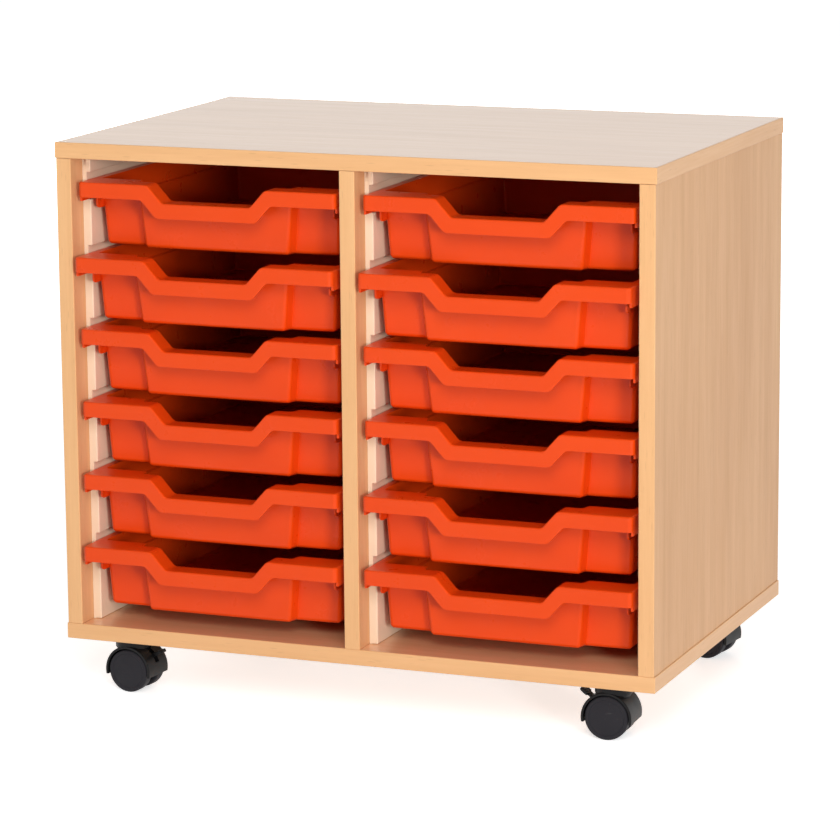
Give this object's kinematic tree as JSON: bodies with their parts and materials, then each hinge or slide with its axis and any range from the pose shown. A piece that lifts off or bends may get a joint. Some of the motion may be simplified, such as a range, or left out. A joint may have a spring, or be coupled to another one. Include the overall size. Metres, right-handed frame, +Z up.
{
  "type": "classroom tray storage unit",
  "caption": "Mobile classroom tray unit: a beech-effect board cabinet with two bays of shallow plastic trays that slide out on grooved runners, on braked twin-wheel castors.",
  "frame": {"origin": "on the floor, below the middle of the object's own box (the foremost tray lips stand 11 mm proud of the cabinet front)", "axes": "+X to the right across the unit, -Y towards the tray fronts, +Z up"},
  "size_m": [0.706, 0.481, 0.635],
  "materials": {
    "beech_board": "melamine-faced board with a fine beech grain, satin",
    "beech_edging": "thin plastic edging printed as beech, satin",
    "runner_plastic": "moulded cream plastic, satin",
    "tray_plastic": "moulded orange-red polypropylene, semi-gloss with a fine moulded texture",
    "castor_plastic": "moulded black nylon, semi-gloss",
    "wheel_plastic": "charcoal nylon, matte",
    "castor_plate": "pressed steel, painted black, satin",
    "castor_steel": "zinc-plated steel"
  },
  "bodies": {
    "cabinet": {"top_panel": "beech_board", "top_edge_band": "beech_edging", "base_panel": "beech_board", "base_edge_band": "beech_edging", "left_side_panel": "beech_board", "left_side_edge_band": "beech_edging", "right_side_panel": "beech_board", "right_side_edge_band": "beech_edging", "centre_divider": "beech_board", "divider_edge_band": "beech_edging", "back_panel": "beech_board", "left_bay_left_runner": "runner_plastic", "left_bay_right_runner": "runner_plastic", "right_bay_left_runner": "runner_plastic", "right_bay_right_runner": "runner_plastic", "front_left_castor_plate": "castor_plate", "front_left_castor_kingpin": "castor_steel", "front_right_castor_plate": "castor_plate", "front_right_castor_kingpin": "castor_steel", "rear_left_castor_plate": "castor_plate", "rear_left_castor_kingpin": "castor_steel", "rear_right_castor_plate": "castor_plate", "rear_right_castor_kingpin": "castor_steel"},
    "left_tray_1": {"left_tray_1": "tray_plastic"},
    "left_tray_2": {"left_tray_2": "tray_plastic"},
    "left_tray_3": {"left_tray_3": "tray_plastic"},
    "left_tray_4": {"left_tray_4": "tray_plastic"},
    "left_tray_5": {"left_tray_5": "tray_plastic"},
    "left_tray_6": {"left_tray_6": "tray_plastic"},
    "right_tray_1": {"right_tray_1": "tray_plastic"},
    "right_tray_2": {"right_tray_2": "tray_plastic"},
    "right_tray_3": {"right_tray_3": "tray_plastic"},
    "right_tray_4": {"right_tray_4": "tray_plastic"},
    "right_tray_5": {"right_tray_5": "tray_plastic"},
    "right_tray_6": {"right_tray_6": "tray_plastic"},
    "front_left_swivel": {"front_left_castor_hood": "castor_plastic", "front_left_castor_axle": "castor_steel", "front_left_brake_pin": "castor_steel"},
    "front_left_castor_wheel_1": {"front_left_castor_wheel_1": "wheel_plastic"},
    "front_left_castor_wheel_2": {"front_left_castor_wheel_2": "wheel_plastic"},
    "front_left_brake_lever": {"front_left_brake_lever": "castor_plastic"},
    "front_right_swivel": {"front_right_castor_hood": "castor_plastic", "front_right_castor_axle": "castor_steel", "front_right_brake_pin": "castor_steel"},
    "front_right_castor_wheel_1": {"front_right_castor_wheel_1": "wheel_plastic"},
    "front_right_castor_wheel_2": {"front_right_castor_wheel_2": "wheel_plastic"},
    "front_right_brake_lever": {"front_right_brake_lever": "castor_plastic"},
    "rear_left_swivel": {"rear_left_castor_hood": "castor_plastic", "rear_left_castor_axle": "castor_steel"},
    "rear_left_castor_wheel_1": {"rear_left_castor_wheel_1": "wheel_plastic"},
    "rear_left_castor_wheel_2": {"rear_left_castor_wheel_2": "wheel_plastic"},
    "rear_right_swivel": {"rear_right_castor_hood": "castor_plastic", "rear_right_castor_axle": "castor_steel"},
    "rear_right_castor_wheel_1": {"rear_right_castor_wheel_1": "wheel_plastic"},
    "rear_right_castor_wheel_2": {"rear_right_castor_wheel_2": "wheel_plastic"}
  },
  "joints": [
    {"name": "left_tray_1_slide", "type": "slide", "parent": "cabinet", "child": "left_tray_1", "axis": [0, -1, 0], "range_m": [-0.004, 0.437]},
    {"name": "left_tray_2_slide", "type": "slide", "parent": "cabinet", "child": "left_tray_2", "axis": [0, -1, 0], "range_m": [-0.018, 0.423]},
    {"name": "left_tray_3_slide", "type": "slide", "parent": "cabinet", "child": "left_tray_3", "axis": [0, -1, 0], "range_m": [-0.008, 0.433]},
    {"name": "left_tray_4_slide", "type": "slide", "parent": "cabinet", "child": "left_tray_4", "axis": [0, -1, 0], "range_m": [-0.008, 0.433]},
    {"name": "left_tray_5_slide", "type": "slide", "parent": "cabinet", "child": "left_tray_5", "axis": [0, -1, 0], "range_m": [-0.011, 0.43]},
    {"name": "left_tray_6_slide", "type": "slide", "parent": "cabinet", "child": "left_tray_6", "axis": [0, -1, 0], "range_m": [-0.015, 0.426]},
    {"name": "right_tray_1_slide", "type": "slide", "parent": "cabinet", "child": "right_tray_1", "axis": [0, -1, 0], "range_m": [-0.002, 0.439]},
    {"name": "right_tray_2_slide", "type": "slide", "parent": "cabinet", "child": "right_tray_2", "axis": [0, -1, 0], "range_m": [-0.019, 0.422]},
    {"name": "right_tray_3_slide", "type": "slide", "parent": "cabinet", "child": "right_tray_3", "axis": [0, -1, 0], "range_m": [-0.006, 0.435]},
    {"name": "right_tray_4_slide", "type": "slide", "parent": "cabinet", "child": "right_tray_4", "axis": [0, -1, 0], "range_m": [-0.004, 0.437]},
    {"name": "right_tray_5_slide", "type": "slide", "parent": "cabinet", "child": "right_tray_5", "axis": [0, -1, 0], "range_m": [-0.012, 0.429]},
    {"name": "right_tray_6_slide", "type": "slide", "parent": "cabinet", "child": "right_tray_6", "axis": [0, -1, 0], "range_m": [-0.012, 0.429]},
    {"name": "front_left_castor_swivel", "type": "hinge", "parent": "cabinet", "child": "front_left_swivel", "pos_m": [-0.297, -0.1835, 0.06179], "axis": [0, 0, 1], "continuous": true},
    {"name": "front_left_castor_wheel_1_spin", "type": "hinge", "parent": "front_left_swivel", "child": "front_left_castor_wheel_1", "pos_m": [-0.28803, -0.18428, 0.02479], "axis": [0.0872, 0.9962, 0], "continuous": true},
    {"name": "front_left_castor_wheel_2_spin", "type": "hinge", "parent": "front_left_swivel", "child": "front_left_castor_wheel_2", "pos_m": [-0.28803, -0.18428, 0.02479], "axis": [0.0872, 0.9962, 0], "continuous": true},
    {"name": "front_left_brake_press", "type": "hinge", "parent": "front_left_swivel", "child": "front_left_brake_lever", "pos_m": [-0.27397, -0.18552, 0.0375], "axis": [0.0872, 0.9962, 0], "range_deg": [0, 20]},
    {"name": "front_right_castor_swivel", "type": "hinge", "parent": "cabinet", "child": "front_right_swivel", "pos_m": [0.297, -0.1835, 0.06179], "axis": [0, 0, 1], "continuous": true},
    {"name": "front_right_castor_wheel_1_spin", "type": "hinge", "parent": "front_right_swivel", "child": "front_right_castor_wheel_1", "pos_m": [0.28801, -0.18381, 0.02479], "axis": [0.0349, -0.9994, 0], "continuous": true},
    {"name": "front_right_castor_wheel_2_spin", "type": "hinge", "parent": "front_right_swivel", "child": "front_right_castor_wheel_2", "pos_m": [0.28801, -0.18381, 0.02479], "axis": [0.0349, -0.9994, 0], "continuous": true},
    {"name": "front_right_brake_press", "type": "hinge", "parent": "front_right_swivel", "child": "front_right_brake_lever", "pos_m": [0.27389, -0.18431, 0.0375], "axis": [0.0349, -0.9994, 0], "range_deg": [0, 20]},
    {"name": "rear_left_castor_swivel", "type": "hinge", "parent": "cabinet", "child": "rear_left_swivel", "pos_m": [-0.297, 0.1815, 0.06179], "axis": [0, 0, 1], "continuous": true},
    {"name": "rear_left_castor_wheel_1_spin", "type": "hinge", "parent": "rear_left_swivel", "child": "rear_left_castor_wheel_1", "pos_m": [-0.28814, 0.18306, 0.02479], "axis": [-0.1736, 0.9848, 0], "continuous": true},
    {"name": "rear_left_castor_wheel_2_spin", "type": "hinge", "parent": "rear_left_swivel", "child": "rear_left_castor_wheel_2", "pos_m": [-0.28814, 0.18306, 0.02479], "axis": [-0.1736, 0.9848, 0], "continuous": true},
    {"name": "rear_right_castor_swivel", "type": "hinge", "parent": "cabinet", "child": "rear_right_swivel", "pos_m": [0.297, 0.1815, 0.06179], "axis": [0, 0, 1], "continuous": true},
    {"name": "rear_right_castor_wheel_1_spin", "type": "hinge", "parent": "rear_right_swivel", "child": "rear_right_castor_wheel_1", "pos_m": [0.28809, 0.18275, 0.02479], "axis": [-0.1392, -0.9903, 0], "continuous": true},
    {"name": "rear_right_castor_wheel_2_spin", "type": "hinge", "parent": "rear_right_swivel", "child": "rear_right_castor_wheel_2", "pos_m": [0.28809, 0.18275, 0.02479], "axis": [-0.1392, -0.9903, 0], "continuous": true}
  ]
}
